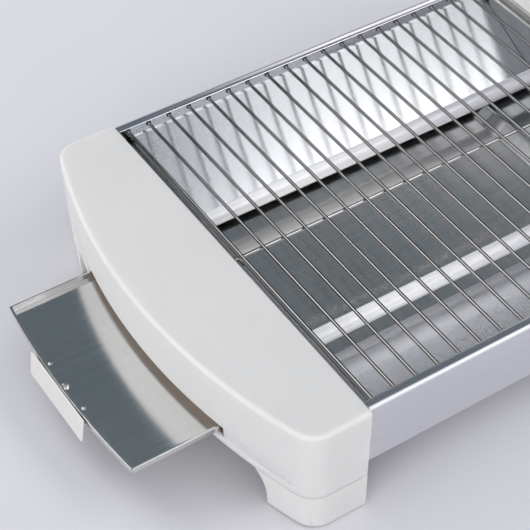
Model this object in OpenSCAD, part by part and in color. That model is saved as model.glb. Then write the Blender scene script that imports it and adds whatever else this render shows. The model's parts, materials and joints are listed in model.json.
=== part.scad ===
// Horizontal toaster: a wire rack over two quartz tubes, between two moulded end caps.
// +X runs along the rack to the control end, +Y to the rear, +Z up from the table.
// The crumb tray stands partly drawn out at the -X end.

/* [Body] */
// Height from the table to the top of the end caps and panels
body_h = 77; // [74:0.5:90]
// Thickness of the sheet steel pieces
sheet_t = 0.7; // [0.5:0.1:0.9]
// Width of the flat flange along the top of each panel
flange_w = 6.5; // [5.5:0.5:9]
// Outer radius of the fold along each panel's top edge
fold_r = 2.5; // [1.5:0.1:3.5]
// Height of the down-turned lip that holds the wires
lip_h = 7; // [6:0.5:9]
// Width of the return along each panel's bottom edge
return_w = 8.5; // [7:0.5:11]
// Height of the bottom plate's top face above the decks of the bases
floor_rise = 3.5; // [3.2:0.1:6]
// Step up from the bottom plate to the panels' returns
floor_step = 4; // [2:0.1:5]

/* [Rack] */
// Spacing of the rack wires
wire_pitch = 14; // [12:0.5:16]
// Number of rack wires
wire_count = 20; // [16:1:24]
// Diameter of the rack wires
wire_d = 2; // [1.6:0.1:2.4]
// Clear depth of the rack between the two lips
rack_depth = 247; // [230:1:280]
// Length of the cross wire's ends past the outer wires
cross_over = 4; // [2:0.5:5]
// Distance that the wires run on past the lips
wire_tail = 3; // [1.5:0.5:4]

/* [End caps] */
// Distance from an outer wire to the cap's inner edge
cap_gap = 6; // [5:0.5:10]
// Length of a cap from its inner edge to the tip of the bow
cap_len = 61.5; // [58:0.5:75]
// Radius of the bowed outer wall in plan
cap_bow_r = 366; // [300:1:500]
// Radius of the upright corners in plan
cap_corner_r = 15; // [10:0.5:20]
// Distance that the caps stand proud of the panels
cap_proud = 2; // [1.8:0.1:4]
// Wall thickness of the mouldings
cap_wall = 2.2; // [1.8:0.1:2.6]
// Radius along the top edge of a cap
cap_fillet = 3; // [1:0.5:5]
// Distance that the bowed wall leans in from top to table
end_taper = 3.8; // [0:0.1:5]
// Distance that the side walls lean in from top to table
side_taper = 1; // [0:0.1:1.2]
// Depth of the groove that runs on past the tray slot
groove_depth = 1.3; // [0.5:0.1:1.5]
// Distance from a cap's side to the end of the groove
groove_margin = 13; // [13:0.5:30]

/* [Bases] */
// Height of the seam between a base and its cap
base_h = 26; // [24:0.5:32]
// Thickness of a base's deck
base_t = 2.5; // [2:0.1:4]
// Visible gap at the seam
seam_gap = 0.3; // [0.2:0.1:0.6]
// Width of each foot along the depth, at the table
foot_w = 30; // [28:0.5:36]
// Radius of the arch between the feet
arch_r = 25; // [20:0.5:30]
// Height at which the arch starts to curve
arch_z = 8; // [6:0.5:10]
// Diameter of the rubber foot pads
pad_d = 16; // [12:0.5:18]
// Thickness of the rubber foot pads
pad_t = 5; // [3:0.5:7]
// Distance that the pads stand below the feet
pad_proud = 0.8; // [0.5:0.1:1.5]
// Height of the hollow inside a foot
foot_hollow_h = 20; // [15:0.5:21]

/* [Heating] */
// Outer diameter of the quartz tubes
tube_d = 10; // [8:0.5:12]
// Wall thickness of the quartz tubes
tube_wall = 1; // [0.8:0.1:1.2]
// Distance between the two tubes
tube_spacing = 111; // [90:1:116]
// Height of the tubes above the underside of the tray
tube_rise = 17.8; // [16:0.1:20]
// Outer diameter of a heating coil
coil_d = 6; // [4.5:0.1:6]
// Distance between the reflectors' lower edges
reflector_gap = 127; // [120:1:132]
// Width of the flatter lip along a reflector's lower edge
reflector_lip = 2.5; // [1:0.1:4]
// Slope of that lip, in degrees
reflector_lip_slope = 8; // [0:1:15]
// Height of the reflectors' lower edges above the tray's rim
reflector_rise = 3.8; // [2:0.1:5]
// Diameter of the ceramic tube holders
holder_d = 16; // [15:0.5:20]
// Length of the ceramic tube holders
holder_len = 15; // [12:0.5:18]
// Diameter of the terminal studs
stud_d = 3.6; // [3:0.1:4]
// Diameter of the leads over their insulation
lead_d = 2.4; // [1.8:0.1:3]

/* [Crumb tray] */
// Width of the tray
tray_w = 138; // [130:1:140]
// Length of the tray along its middle
tray_len = 340; // [320:1:342]
// Radius of the tray's bowed front edge in plan
tray_bow_r = 560; // [400:10:800]
// Height of the tray's rim
tray_rim = 4.6; // [3:0.1:5.5]
// Distance that the tray is drawn out
tray_out = 49.5; // [0:0.5:150]
// Free height of the slot above the tray's rim
slot_above = 2.6; // [2:0.1:3.5]
// Distance from the tray's side to the end of the slot
slot_side = 3; // [2:0.5:5]
// Width of the handle plate
handle_w = 59; // [50:1:80]
// Height of the handle plate
handle_h = 16.5; // [14:0.5:24]
// Distance that the handle plate leans out from top to bottom
handle_lean = 1.9; // [0:0.1:4]
// Distance from the tray's middle to the handle's middle
handle_offset = 2.5; // [-4:0.5:4]
// Thickness of the handle plate and its tongue
handle_t = 1; // [0.8:0.1:1.6]
// Length of the handle's tongue under the tray
tongue_len = 16; // [12:0.5:20]
// Distance between the two rivets
rivet_spacing = 38; // [30:1:44]

/* [Controls] */
// Width of the timer's case
timer_w = 44; // [36:1:50]
// Depth of the timer's case
timer_d = 30; // [24:1:36]
// Height of the timer's case
timer_h = 38; // [38:0.5:42]
// Diameter of the timer's shaft
shaft_d = 6; // [5:0.5:7]
// Diameter of the round seat under the knob
seat_d = 40; // [36:0.5:40]
// Diameter of the knob
knob_d = 36; // [30:0.5:39]
// Length of the knob along its axis
knob_len = 16; // [12:0.5:20]
// Width of the knob's grip bar
grip_w = 9; // [8:0.5:12]
// Diameter of the pilot lens
lens_d = 8; // [6:0.5:9]
// Distance from the knob's axis to the pilot lens
lens_offset = 40; // [34:1:50]
// Bore of the cord gland
gland_bore = 7.5; // [6:0.1:8.5]

/* [Fits] */
// Clearance between separate pieces
fit_gap = 0.3; // [0.2:0.05:0.4]
// Radial clearance of pins, screws and turning shafts
run_gap = 0.05; // [0.03:0.01:0.1]

/* [Hidden] */
$fn = 48;
bow_fn = 360;
corner_steps = 8;
bow_steps = 24;
fillet_steps = 4;
slab_t = 0.01;
cut_over = 1;

// Plan of the body
rack_half = wire_pitch * (wire_count - 1) / 2;
half_depth = rack_depth / 2;
panel_y = half_depth + flange_w;
cap_half_w = panel_y + cap_proud;
cap_in_x = rack_half + cap_gap;
cap_tip_x = cap_in_x + cap_len;
panel_end_x = cap_in_x - fit_gap;
panel_tab = 8;
lip_wall_y = half_depth + sheet_t;

// Heights, from the table up
base_top = base_h + base_t;
floor_z = base_top + floor_rise;
panel_z = floor_z + floor_step;
tray_z = floor_z + fit_gap;
rim_z = tray_z + tray_rim;
slot_low_z = tray_z - handle_t - 2 * fit_gap;
slot_high_z = rim_z + slot_above;
tube_z = tray_z + tube_rise;
lip_low_z = body_h - lip_h;
wire_z = body_h - sheet_t - fit_gap - wire_d / 2;
touch_gap = 0.02;
cross_z = wire_z - wire_d - touch_gap;
strip_z = cross_z - wire_d / 2 - touch_gap;
cap_under_z = body_h - cap_wall;

// End plates
web_inset = 0.5;
web_x = rack_half - web_inset;
strip_tuck = 3;
strip_end_x = cap_in_x + strip_tuck;
web_half_w = panel_y - return_w - fit_gap;
plate_foot_len = 19.5;
plate_foot_over = 25;
plate_foot_half_w = tray_w / 2 + plate_foot_over;

// Screw places in the caps and bases
screw_d = 2.8;
screw_head_d = 6;
screw_head_h = 1.8;
boss_d = 8;
boss_side = 15;
boss_near = 8;
boss_far = 37;
boss_y = tray_w / 2 + boss_side;
boss_near_x = cap_in_x + boss_near;
boss_far_x = cap_in_x + boss_far;
base_screw_len = 14;
bottom_screw_len = 7;
bottom_screw_pitch = 100;

// Feet
arch_half_w = cap_half_w - foot_w;
pad_inset = 21;
pad_x = cap_in_x + pad_inset;
pad_y = cap_half_w - foot_w / 2;
post_wall = 1.5;
post_short = 1.2;
post_z = pad_proud + post_short;
neck_h = 0.8;
rib_inset = 18;
rib_y = tray_w / 2 - rib_inset;
rib_t = 3;
rib_tip_gap = 11;

// Heating
tube_y = tube_spacing / 2;
tube_end = 8;
tube_half_len = web_x + sheet_t + tube_end;
holder_x = web_x + sheet_t + fit_gap;
socket_x = tube_half_len + fit_gap;
coil_short = 1;
coil_half_len = tube_half_len - coil_short;
coil_wall = 1;
stud_proud = 8;
stud_tip_x = holder_x + holder_len + stud_proud;
lead_x = holder_x + holder_len + stud_proud / 2;
ring_wall = 1.7;
ring_d = stud_d + 2 * ring_wall;
ring_t = 1.2;

// Tray and handle, with the tray pushed home and then drawn out
handle_gap = 0.6;
hem_t = 2 * sheet_t;
tray_front_x = cap_tip_x - taper_end(slot_low_z) + handle_gap;
handle_in_x = tray_front_x + fit_gap;
handle_out_x = handle_in_x + handle_t;
tray_half_w = tray_w / 2;
rivet_d = 3;
rivet_head_d = 4.6;
rivet_head_h = 0.8;
rivet_inset = 5;
tray_screw_head_d = 4.6;
tray_screw_inset = hem_t + fit_gap + tray_screw_head_d / 2;
guide_h = 4.1;
guide_foot_w = 5;

// Controls
timer_z = base_top + fit_gap + timer_h / 2;
timer_front_x = cap_tip_x - taper_end(base_top) - cap_wall - bow_sag(timer_w / 2) - fit_gap;
wall_x = cap_tip_x - taper_end(timer_z);
seat_proud = 0.7;
seat_x = cap_tip_x + seat_proud;
neck_wall = 1.5;
neck_d = shaft_d + 2 * neck_wall;
knob_gap = 0.4;
knob_x = seat_x + knob_gap;
knob_face_x = knob_x + knob_len;
knob_disc_t = 5;
grip_inset = 1;
shaft_in = 10;
shaft_short = 3;
timer_screw_inset = 6;
timer_screw_y = seat_d / 2 - timer_screw_inset;
timer_screw_len = 8;
lens_y = -lens_offset;
lens_rise = 6;
lens_z = timer_z + lens_rise;
lens_wall_x = cap_tip_x - taper_end(lens_z) - bow_sag(lens_offset);
lens_proud = 2;
lens_seat = 4;
lens_dome_r = 12;
lamp_wall = 1.5;
lamp_d = lens_d + 2 * lamp_wall;
lamp_len = 18;
lamp_gap = 1.2;
lamp_front_x = lens_wall_x - cap_wall - lamp_gap;
block_len = 20;
block_w = 34;
block_h = 15;
block_z = base_top + fit_gap;
block_screw_depth = 8;
block_inset = 21;
block_side = 8;
block_x = cap_in_x + block_inset;
block_y = timer_w / 2 + block_side;
block_screw_d = 4;
block_screw_pitch = 10;
gland_inset = 26;
gland_drop = 6;
gland_wall = 1.5;
gland_rim = 3.25;
gland_x = cap_in_x + gland_inset;
gland_z = timer_z - gland_drop;
gland_out_y = cap_half_w - touch_gap;
gland_neck_d = gland_bore + 2 * gland_wall;
gland_flange_d = gland_bore + 2 * gland_rim;
gland_flange_t = 1.2;
gland_len = 6.5;

// The whole part is centred on its own box, with the tray drawn out
x_shift = (handle_out_x + handle_lean + tray_out - knob_face_x) / 2;

white = [0.87, 0.87, 0.87];
satin = [0.66, 0.66, 0.70];
slate = [0.36, 0.40, 0.43];
zinc = [0.80, 0.81, 0.83];
chrome = [0.60, 0.60, 0.60];
quartz = [0.94, 0.94, 0.93];
ceramic = [0.92, 0.90, 0.84];
dark = [0.15, 0.15, 0.16];

// Inward lean of the bowed wall and of the side walls at height z
function taper_end(z) = end_taper * (1 - z / body_h);
function taper_side(z) = side_taper * (1 - z / body_h);

// Distance that the bow falls back at y from the middle
function bow_sag(y) = cap_bow_r - sqrt(cap_bow_r * cap_bow_r - y * y);

function arc(cx, cy, r, a0, a1, steps) =
    [for (i = [0:steps]) let (a = a0 + (a1 - a0) * i / steps) [cx + r * cos(a), cy + r * sin(a)]];

// Plan of a cap at height z, pulled in by d, from its flat side at x_in to the bow
function cap_plan(z, d, x_in) =
    let (w = cap_half_w - taper_side(z) - d)
    let (tip = cap_tip_x - taper_end(z) - d)
    let (r = cap_corner_r - d)
    let (bow = cap_bow_r - d)
    let (a = asin((w - r) / (bow - r)))
    let (kx = tip - bow + (bow - r) * cos(a))
    concat(
        [[x_in, -w]],
        arc(kx, r - w, r, -90, -a, corner_steps),
        arc(tip - bow, 0, bow, -a, a, bow_steps),
        arc(kx, w - r, r, a, 90, corner_steps),
        [[x_in, w]]
    );

module placed() {
    translate([x_shift, 0, 0]) children();
}

// The tray's own pieces stand drawn out towards -X
module drawn_out() {
    translate([x_shift - tray_out, 0, 0]) children();
}

module both_ends() {
    children();
    mirror([1, 0, 0]) children();
}

module both_sides() {
    children();
    mirror([0, 1, 0]) children();
}

// Sets a YZ outline along X
module along_x(length) {
    rotate([90, 0, 90]) linear_extrude(length, center = true) children();
}

module rod_x(x0, x1, d) {
    translate([x0, 0, 0]) rotate([0, 90, 0]) cylinder(h = x1 - x0, d = d);
}

module rod_y(y0, y1, d) {
    translate([0, y0, 0]) rotate([-90, 0, 0]) cylinder(h = y1 - y0, d = d);
}

// Box between two corners
module span(low, high) {
    translate(low) cube(high - low);
}

module plan_slab(z, d, x_in) {
    translate([0, 0, z]) linear_extrude(slab_t) polygon(cap_plan(z, d, x_in));
}

// Moulding between two heights, pulled in by d
module cap_form(z0, z1, d, x_in) {
    hull() {
        plan_slab(z0, d, x_in);
        plan_slab(z1 - slab_t, d, x_in);
    }
}

// Full cap with its rounded top edge
module cap_outside() {
    hull() {
        plan_slab(base_h, 0, cap_in_x);
        for (i = [0:fillet_steps]) {
            a = 90 * i / fillet_steps;
            z = body_h - cap_fillet * (1 - sin(a)) - slab_t;
            plan_slab(z, cap_fillet * (1 - cos(a)), cap_in_x);
        }
    }
}

module boss_places() {
    both_sides() {
        translate([boss_near_x, boss_y, 0]) children();
        translate([boss_far_x, boss_y, 0]) children();
    }
}

// Shell that both caps share, at the +X end
module cap_shell() {
    difference() {
        cap_outside();
        cap_form(base_h - cut_over, cap_under_z, cap_wall, cap_in_x - cut_over);
        // Rebate for the ends of the panels
        both_sides() span(
            [cap_in_x - cut_over, half_depth, base_h - cut_over],
            [panel_end_x + panel_tab + 2 * fit_gap, panel_y + fit_gap, cap_under_z]
        );
    }
    // Inner edge down to the end plate's strip
    span(
        [cap_in_x, fit_gap - half_depth, strip_z + fit_gap],
        [cap_in_x + cap_wall, half_depth - fit_gap, cap_under_z + touch_gap]
    );
    // Inner edge under the panels
    both_sides() span(
        [cap_in_x, half_depth, base_h],
        [cap_in_x + cap_wall, panel_y + 2 * fit_gap, panel_z - fit_gap]
    );
    // Screw bosses under the top
    difference() {
        boss_places() translate([0, 0, base_top + sheet_t]) cylinder(h = cap_under_z - base_top, d = boss_d);
        boss_places() translate([0, 0, base_top]) cylinder(h = base_screw_len, d = screw_d + 2 * run_gap);
    }
}

module left_end_cap() {
    slot_half = tray_half_w + slot_side;
    groove_half = cap_half_w - groove_margin;
    color(white) mirror([1, 0, 0]) difference() {
        cap_shell();
        // Slot for the tray
        span([boss_far_x, -slot_half, slot_low_z], [cap_tip_x + cut_over, slot_half, slot_high_z]);
        // Groove to both sides of the slot
        difference() {
            span(
                [boss_far_x - boss_d, -groove_half, slot_low_z],
                [cap_tip_x + cut_over, groove_half, slot_high_z]
            );
            cap_form(slot_low_z - cut_over, slot_high_z + cut_over, groove_depth, cap_in_x);
        }
    }
}

module right_end_cap() {
    flange_y = gland_out_y - gland_flange_t;
    color(white) difference() {
        union() {
            cap_shell();
            // Round seat under the knob
            translate([0, 0, timer_z]) rod_x(wall_x - cap_wall + touch_gap, seat_x, seat_d);
        }
        translate([0, 0, timer_z]) {
            rod_x(timer_front_x, seat_x + cut_over, neck_d + 2 * fit_gap);
            both_sides() translate([0, timer_screw_y, 0]) {
                rod_x(timer_front_x, seat_x + cut_over, screw_d + 2 * fit_gap);
                rod_x(seat_x - screw_head_h - fit_gap, seat_x + cut_over, screw_head_d + 2 * fit_gap);
            }
        }
        translate([0, lens_y, lens_z]) rod_x(lamp_front_x, cap_tip_x, lens_d + 2 * fit_gap);
        translate([gland_x, 0, gland_z]) {
            rod_y(half_depth, cap_half_w + cut_over, gland_neck_d + 2 * fit_gap);
            rod_y(flange_y - touch_gap, cap_half_w + cut_over, gland_flange_d + 2 * fit_gap);
        }
    }
}

module arch_cut() {
    x0 = cap_in_x - cut_over;
    x1 = cap_tip_x + cut_over;
    half = arch_half_w - arch_r;
    span([x0, -arch_half_w, -cut_over], [x1, arch_half_w, arch_z]);
    span([x0, -half, -cut_over], [x1, half, base_h]);
    both_sides() translate([0, half, arch_z]) rod_x(x0, x1, 2 * arch_r);
}

// Deck with two corner feet, at the +X end
module base_form() {
    deck_inset = cap_wall + fit_gap;
    deck_x = cap_in_x + cap_wall + fit_gap;
    hollow_y = arch_half_w + cap_wall;
    post_d = pad_d + 2 * (fit_gap + post_wall);
    foot_top = base_h - seam_gap;
    difference() {
        union() {
            difference() {
                cap_form(pad_proud, foot_top, 0, cap_in_x);
                arch_cut();
                // Hollow of each foot
                intersection() {
                    cap_form(-cut_over, foot_hollow_h, cap_wall, cap_in_x + cap_wall);
                    both_sides() span(
                        [cap_in_x, hollow_y, -2 * cut_over],
                        [cap_tip_x, cap_half_w, base_h]
                    );
                }
            }
            // Deck inside the cap, with its necks down to the feet
            translate([0, 0, base_h]) linear_extrude(base_t)
                polygon(cap_plan(base_h, deck_inset, deck_x));
            translate([0, 0, foot_top - neck_h]) linear_extrude(neck_h + 2 * seam_gap) intersection() {
                polygon(cap_plan(base_h, deck_inset, deck_x));
                both_sides() translate([deck_x, hollow_y]) square([cap_len, foot_w]);
            }
            both_sides() translate([pad_x, pad_y, post_z]) cylinder(h = foot_hollow_h, d = post_d);
        }
        // Seats of the foot pads and holes of the base screws
        both_sides() translate([pad_x, pad_y, -cut_over])
            cylinder(h = pad_t + fit_gap + cut_over, d = pad_d + 2 * fit_gap);
        boss_places() translate([0, 0, base_h - cut_over])
            cylinder(h = base_t + 2 * cut_over, d = screw_d + 2 * fit_gap);
    }
}

module left_base() {
    rib_x0 = web_x + plate_foot_len + fit_gap;
    rib_x1 = cap_tip_x - rib_tip_gap;
    color(white) mirror([1, 0, 0]) {
        base_form();
        // Ribs that carry the tray through the cap
        both_sides() span(
            [rib_x0, rib_y - rib_t / 2, base_top - touch_gap],
            [rib_x1, rib_y + rib_t / 2, floor_z]
        );
    }
}

module right_base() {
    color(white) base_form();
}

// Section of the rear panel: wall, rounded fold, flange, lip and bottom return
module panel_outline() {
    translate([panel_y - sheet_t, panel_z]) square([sheet_t, body_h - fold_r - panel_z]);
    translate([panel_y - fold_r, body_h - fold_r]) intersection() {
        difference() {
            circle(fold_r);
            circle(fold_r - sheet_t);
        }
        square(fold_r);
    }
    translate([half_depth, body_h - sheet_t]) square([flange_w - fold_r, sheet_t]);
    translate([half_depth, lip_low_z]) square([sheet_t, lip_h]);
    translate([panel_y - return_w, panel_z]) square([return_w, sheet_t]);
}

module panel_form() {
    difference() {
        along_x(2 * panel_end_x) panel_outline();
        for (i = [0:wire_count - 1]) {
            translate([i * wire_pitch - rack_half, 0, wire_z])
                rod_y(half_depth - cut_over, lip_wall_y + cut_over, wire_d + fit_gap);
        }
        bottom_screw_places() translate([0, 0, panel_z - cut_over])
            cylinder(h = sheet_t + 2 * cut_over, d = screw_d + 2 * run_gap);
    }
    // Tabs that slide into the caps
    both_ends() span(
        [panel_end_x - touch_gap, panel_y - sheet_t, panel_z],
        [panel_end_x + panel_tab, panel_y, strip_z]
    );
}

module front_panel() {
    color(satin) mirror([0, 1, 0]) panel_form();
}

module rear_panel() {
    color(satin) panel_form();
}

// End plate at the +X end: web, strip under the rack and foot on the base's deck
module end_plate_form() {
    web_out_x = web_x + sheet_t;
    slot_half = tray_half_w + slot_side;
    strip_half_w = half_depth - fit_gap;
    cut_x0 = web_x - cut_over;
    cut_x1 = web_out_x + cut_over;
    difference() {
        union() {
            span([web_x, -web_half_w, base_top], [web_out_x, web_half_w, strip_z]);
            span([web_x, -strip_half_w, strip_z - sheet_t], [strip_end_x, strip_half_w, strip_z]);
            span(
                [web_x, -plate_foot_half_w, base_top],
                [web_x + plate_foot_len, plate_foot_half_w, base_top + sheet_t]
            );
        }
        span([cut_x0, -slot_half, tray_z - 2 * fit_gap], [cut_x1, slot_half, slot_high_z]);
        both_sides() {
            translate([0, tube_y, tube_z]) rod_x(cut_x0, cut_x1, tube_d + 2 * fit_gap);
            translate([boss_near_x, boss_y, base_top - cut_over])
                cylinder(h = sheet_t + 2 * cut_over, d = screw_d + 2 * fit_gap);
        }
    }
}

module left_end_plate() {
    color(slate) mirror([1, 0, 0]) end_plate_form();
}

module right_end_plate() {
    color(slate) end_plate_form();
}

module bottom_screw_places() {
    for (x = [-bottom_screw_pitch, 0, bottom_screw_pitch]) {
        translate([x, panel_y - return_w / 2, 0]) children();
    }
}

// Shallow pan: flat under the tray, stepped up at the front and rear
module bottom_plate() {
    edge_y = panel_y - sheet_t - fit_gap;
    step_y = panel_y - return_w - 2 * fit_gap;
    low_y = step_y - floor_step;
    high_z = panel_z;
    half = [
        [low_y, floor_z], [step_y, high_z], [edge_y, high_z],
        [edge_y, high_z - sheet_t], [step_y + sheet_t / 2, high_z - sheet_t],
        [low_y + sheet_t / 2, floor_z - sheet_t]
    ];
    far_half = [for (i = [len(half) - 1:-1:0]) [-half[i].x, half[i].y]];
    color(zinc) difference() {
        along_x(2 * (web_x - fit_gap)) polygon(concat(half, far_half));
        both_sides() bottom_screw_places() translate([0, 0, high_z - sheet_t - cut_over])
            cylinder(h = sheet_t + 2 * cut_over, d = screw_d + 2 * fit_gap);
    }
}

module tray_guides() {
    y = tray_half_w + 2 * fit_gap;
    color(zinc) both_sides() along_x(2 * (web_x - 2 * fit_gap)) {
        translate([y, floor_z]) square([sheet_t, guide_h]);
        translate([y, floor_z]) square([guide_foot_w, sheet_t]);
    }
}

// Point of a sheet's underside, below a bend between two slopes
function under(p, a, b) = p + sheet_t / cos((b - a) / 2) * [sin((a + b) / 2), -cos((a + b) / 2)];

// Slanted sheet with a flange under the lip and a flatter lip at its lower edge
module reflector_form() {
    top_z = lip_low_z - fit_gap;
    edge_y = panel_y - sheet_t - fit_gap;
    low = [reflector_gap / 2, rim_z + reflector_rise];
    lip = low + reflector_lip * [1, tan(reflector_lip_slope)];
    bend = [half_depth - sheet_t, top_z];
    slope = atan2(bend.y - lip.y, bend.x - lip.x);
    color(zinc) along_x(2 * (web_x - fit_gap)) polygon([
        [edge_y, top_z], bend, lip, low,
        under(low, reflector_lip_slope, reflector_lip_slope),
        under(lip, reflector_lip_slope, slope),
        under(bend, slope, 0), [edge_y, top_z - sheet_t]
    ]);
}

module front_reflector() {
    mirror([0, 1, 0]) reflector_form();
}

module rear_reflector() {
    reflector_form();
}

module rack_wires() {
    tail_y = lip_wall_y + wire_tail;
    color(chrome) for (i = [0:wire_count - 1]) {
        translate([i * wire_pitch - rack_half, 0, wire_z]) rod_y(-tail_y, tail_y, wire_d);
    }
}

module rack_cross_wire() {
    tip_x = rack_half + cross_over;
    color(chrome) translate([0, 0, cross_z]) rod_x(-tip_x, tip_x, wire_d);
}

// Hollow rod along X in the middle of the rear tube's place
module sleeve(half_len, d, wall) {
    translate([0, tube_y, tube_z]) difference() {
        rod_x(-half_len, half_len, d);
        rod_x(-half_len - cut_over, half_len + cut_over, d - 2 * wall);
    }
}

module front_quartz_tube() {
    color(quartz) mirror([0, 1, 0]) sleeve(tube_half_len, tube_d, tube_wall);
}

module rear_quartz_tube() {
    color(quartz) sleeve(tube_half_len, tube_d, tube_wall);
}

module front_heating_coil() {
    color(dark) mirror([0, 1, 0]) sleeve(coil_half_len, coil_d, coil_wall);
}

module rear_heating_coil() {
    color(dark) sleeve(coil_half_len, coil_d, coil_wall);
}

module tube_ends() {
    both_ends() both_sides() translate([0, tube_y, tube_z]) children();
}

module tube_holders() {
    color(ceramic) tube_ends() difference() {
        rod_x(holder_x, holder_x + holder_len, holder_d);
        rod_x(holder_x - cut_over, socket_x, tube_d + 2 * fit_gap);
        rod_x(socket_x - cut_over, stud_tip_x, stud_d + 2 * run_gap);
    }
}

module heater_terminals() {
    color(satin) tube_ends() rod_x(coil_half_len, stud_tip_x, stud_d);
}

// Ring tag on the rear tube's stud at the +X end
module ring_tag() {
    translate([0, tube_y, tube_z]) difference() {
        rod_x(lead_x - ring_t / 2, lead_x + ring_t / 2, ring_d);
        rod_x(lead_x - ring_t, lead_x + ring_t, stud_d + 2 * run_gap);
    }
}

module left_link_lead() {
    y = tube_y - (ring_d + stud_d) / 4;
    color(dark) mirror([1, 0, 0]) {
        both_sides() ring_tag();
        translate([lead_x, 0, tube_z]) rod_y(-y, y, lead_d);
    }
}

// Round lead through a list of points
module lead_run(points) {
    last = len(points) - 1;
    for (i = [0:last - 1]) {
        step = points[i + 1] - points[i];
        translate(points[i]) rotate([0, acos(step.z / norm(step)), atan2(step.y, step.x)])
            cylinder(h = norm(step), d = lead_d);
    }
    if (last > 1) {
        for (i = [1:last - 1]) {
            translate(points[i]) sphere(d = lead_d);
        }
    }
}

// Front tube to timer, rear tube to terminal block, and timer to terminal block
module right_leads() {
    tag_y = tube_y - (ring_d + stud_d) / 4;
    timer_back_x = timer_front_x - timer_d;
    timer_lead_y = -timer_w / 4;
    block_lead_x = block_x + block_len * 3 / 4;
    block_lead_y = block_y + block_w / 2;
    link_z = block_z + block_h / 2;
    color(dark) {
        both_sides() ring_tag();
        lead_run([
            [lead_x, -tag_y, tube_z], [lead_x, timer_lead_y, tube_z], [timer_back_x, timer_lead_y, tube_z]
        ]);
        lead_run([
            [lead_x, tag_y, tube_z], [lead_x, block_lead_y, tube_z],
            [block_lead_x, block_lead_y, tube_z], [block_lead_x, block_lead_y, block_z + block_h]
        ]);
        lead_run([[block_lead_x, timer_w / 2, link_z], [block_lead_x, block_y, link_z]]);
    }
}

// Plan of the tray pushed home, pulled in by d: bowed front, square rear
module tray_plan(d) {
    intersection() {
        translate([tray_bow_r - tray_front_x, 0]) circle(tray_bow_r - d, $fn = bow_fn);
        translate([-tray_front_x - cut_over, d - tray_half_w])
            square([tray_len + cut_over - d, tray_w - 2 * d]);
    }
}

module rivet_places() {
    translate([rivet_inset - tray_front_x, handle_offset, 0])
        both_sides() translate([0, rivet_spacing / 2, 0]) children();
}

module tray_screw_place() {
    translate([tray_screw_inset - tray_front_x, handle_offset, 0]) children();
}

// Holes of the rivets and the screw through the tray and the handle's tongue
module tray_holes() {
    z0 = tray_z - handle_t - cut_over;
    h = handle_t + sheet_t + 2 * cut_over;
    rivet_places() translate([0, 0, z0]) cylinder(h = h, d = rivet_d + 2 * run_gap);
    tray_screw_place() translate([0, 0, z0]) cylinder(h = h, d = screw_d + 2 * run_gap);
}

// Tray with a folded hem round its edge
module crumb_tray() {
    color(slate) difference() {
        translate([0, 0, tray_z]) linear_extrude(tray_rim) tray_plan(0);
        translate([0, 0, tray_z + sheet_t]) linear_extrude(tray_rim) tray_plan(hem_t);
        tray_holes();
    }
}

// Leaning plate in front of the tray's rim, with a tongue under the tray
module tray_handle() {
    top_z = rim_z - fit_gap;
    low_z = top_z - handle_h;
    tongue_top = tray_z - touch_gap;
    tongue_low = tongue_top - handle_t;
    tongue_x = handle_in_x - tongue_len;
    color(white) mirror([1, 0, 0]) difference() {
        translate([0, handle_offset + handle_w / 2, 0]) rotate([90, 0, 0]) linear_extrude(handle_w) polygon([
            [handle_out_x, top_z], [handle_in_x, top_z],
            [handle_in_x + handle_lean * (top_z - tongue_top) / handle_h, tongue_top],
            [tongue_x, tongue_top], [tongue_x, tongue_low],
            [handle_in_x + handle_lean * (top_z - tongue_low) / handle_h, tongue_low],
            [handle_in_x + handle_lean, low_z], [handle_out_x + handle_lean, low_z]
        ]);
        mirror([1, 0, 0]) tray_holes();
    }
}

// Fastener down through the tray's floor into the tongue
module tray_fastener(d, head_d, head_h) {
    z0 = tray_z - touch_gap - handle_t;
    translate([0, 0, z0]) cylinder(h = tray_z + sheet_t - z0, d = d);
    translate([0, 0, tray_z + sheet_t]) cylinder(h = head_h, d = head_d);
}

module tray_rivets() {
    color(satin) rivet_places() tray_fastener(rivet_d, rivet_head_d, rivet_head_h);
}

module tray_screw() {
    color(satin) tray_screw_place() tray_fastener(screw_d, tray_screw_head_d, screw_head_h);
}

module timer_body() {
    half = timer_w / 2;
    z0 = base_top + fit_gap;
    color(dark) difference() {
        union() {
            span([timer_front_x - timer_d, -half, z0], [timer_front_x, half, z0 + timer_h]);
            translate([0, 0, timer_z]) rod_x(timer_front_x - touch_gap, seat_x - fit_gap, neck_d);
        }
        translate([0, 0, timer_z]) {
            rod_x(timer_front_x - shaft_in, seat_x, shaft_d + 2 * run_gap);
            both_sides() translate([0, timer_screw_y, 0])
                rod_x(timer_front_x - timer_screw_len, seat_x, screw_d + 2 * run_gap);
        }
    }
}

module timer_screws() {
    head_x = seat_x - screw_head_h - fit_gap;
    color(satin) both_sides() translate([0, timer_screw_y, timer_z]) {
        rod_x(timer_front_x - timer_screw_len + fit_gap, head_x, screw_d);
        rod_x(head_x, head_x + screw_head_h, screw_head_d);
    }
}

module timer_shaft() {
    color(satin) translate([0, 0, timer_z])
        rod_x(timer_front_x - shaft_in + fit_gap, knob_face_x - shaft_short, shaft_d);
}

// Round disc with a grip bar across it
module timer_knob() {
    bar_d = knob_d - 2 * grip_inset;
    color(white) translate([0, 0, timer_z]) difference() {
        union() {
            rod_x(knob_x, knob_x + knob_disc_t, knob_d);
            intersection() {
                rod_x(knob_x, knob_face_x, bar_d);
                span([knob_x, -grip_w / 2, -knob_d], [knob_face_x, grip_w / 2, knob_d]);
            }
        }
        rod_x(knob_x - cut_over, knob_face_x - shaft_short, shaft_d + 2 * touch_gap);
    }
}

module pilot_lamp() {
    color(dark) translate([0, lens_y, lens_z]) difference() {
        rod_x(lamp_front_x - lamp_len, lamp_front_x, lamp_d);
        rod_x(lamp_front_x - lens_seat, lamp_front_x + cut_over, lens_d + 2 * run_gap);
    }
}

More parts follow.
